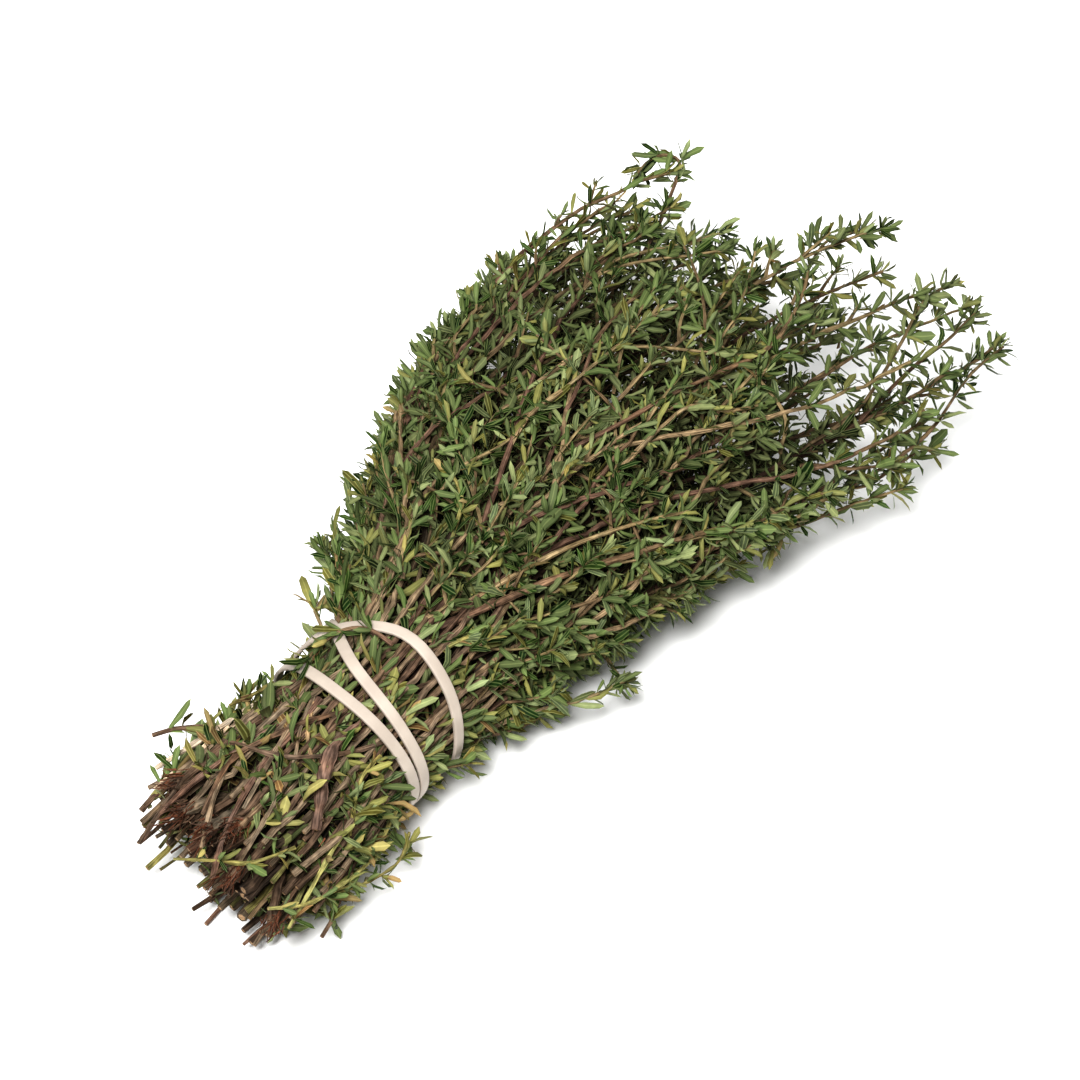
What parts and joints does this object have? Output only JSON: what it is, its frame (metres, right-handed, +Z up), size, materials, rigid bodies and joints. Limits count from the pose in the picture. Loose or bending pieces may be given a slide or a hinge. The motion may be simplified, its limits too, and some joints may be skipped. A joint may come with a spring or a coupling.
{
  "type": "thyme bundle",
  "caption": "Bunch of fresh-cut thyme sprigs lying on its side, fanned out at the leafy tips and held near the cut ends by a pale rubber band wound round it.",
  "frame": {"origin": "on the surface that the bunch lies on, under the middle of its bounding box", "axes": "+X from the cut ends to the leafy tips, +Z up, +Y to the side that the fan leans to"},
  "size_m": [0.2382, 0.1199, 0.0662],
  "materials": {
    "pale_rubber": "matt, pale beige",
    "bark_grey_brown": "matt, fine lengthwise bark",
    "bark_dark_brown": "matt, fine lengthwise bark",
    "sprig_dark_green": "matt leaves on a brown stem",
    "sprig_olive_green": "matt leaves on a brown stem",
    "sprig_deep_green": "matt leaves on a brown stem",
    "sprig_grey_green": "matt leaves on a brown stem"
  },
  "bodies": {
    "root": {"rubber_band": "pale_rubber", "woody_stem_01": "bark_grey_brown", "woody_stem_02": "bark_dark_brown", "woody_stem_03": "bark_grey_brown", "woody_stem_04": "bark_dark_brown", "woody_stem_05": "bark_grey_brown", "woody_stem_06": "bark_dark_brown", "woody_stem_07": "bark_grey_brown", "woody_stem_08": "bark_dark_brown", "woody_stem_09": "bark_grey_brown", "sprig_01": "sprig_dark_green", "sprig_02": "sprig_olive_green", "sprig_03": "sprig_deep_green", "sprig_04": "sprig_grey_green", "sprig_05": "sprig_dark_green", "sprig_06": "sprig_olive_green", "sprig_07": "sprig_deep_green", "sprig_08": "sprig_grey_green", "sprig_09": "sprig_dark_green", "sprig_10": "sprig_olive_green", "sprig_11": "sprig_deep_green", "sprig_12": "sprig_grey_green", "sprig_13": "sprig_dark_green", "sprig_14": "sprig_olive_green", "sprig_15": "sprig_deep_green", "sprig_16": "sprig_grey_green", "sprig_17": "sprig_dark_green", "sprig_18": "sprig_olive_green", "sprig_19": "sprig_deep_green", "sprig_20": "sprig_grey_green", "sprig_21": "sprig_dark_green", "sprig_22": "sprig_olive_green", "sprig_23": "sprig_deep_green", "sprig_24": "sprig_grey_green", "sprig_25": "sprig_dark_green", "sprig_26": "sprig_olive_green", "sprig_27": "sprig_deep_green", "sprig_28": "sprig_grey_green", "sprig_29": "sprig_dark_green", "sprig_30": "sprig_olive_green", "sprig_31": "sprig_deep_green", "sprig_32": "sprig_grey_green", "sprig_33": "sprig_dark_green", "sprig_34": "sprig_olive_green"}
  },
  "joints": []
}
